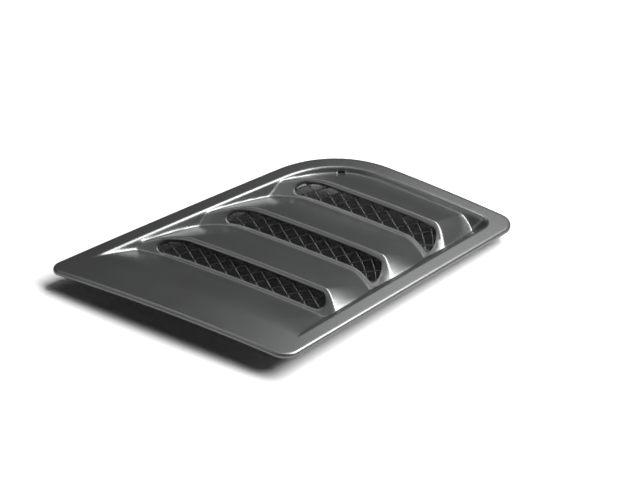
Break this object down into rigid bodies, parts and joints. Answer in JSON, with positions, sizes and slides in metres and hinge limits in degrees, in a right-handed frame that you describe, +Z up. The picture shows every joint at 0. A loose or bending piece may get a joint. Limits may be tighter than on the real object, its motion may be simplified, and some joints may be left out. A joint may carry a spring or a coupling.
{
  "type": "hood bezel",
  "caption": "Crowned four-sided hood vent bezel with saw-tooth louvres in a recessed pocket and black lattice inserts staked behind their slots.",
  "frame": {"origin": "centre of the outline's box in plan, in the plane of the locating pins' ends", "axes": "+X to the right along the front edge, +Y from the front edge to the rear, +Z up, out of the visible face"},
  "size_m": [0.368, 0.3112, 0.035],
  "materials": {
    "bezel": "satin gunmetal grey, moulded",
    "lattice": "black, moulded"
  },
  "bodies": {
    "root": {"bezel_shell": "bezel", "mesh_front": "lattice", "mesh_middle": "lattice", "mesh_rear": "lattice"}
  },
  "joints": []
}
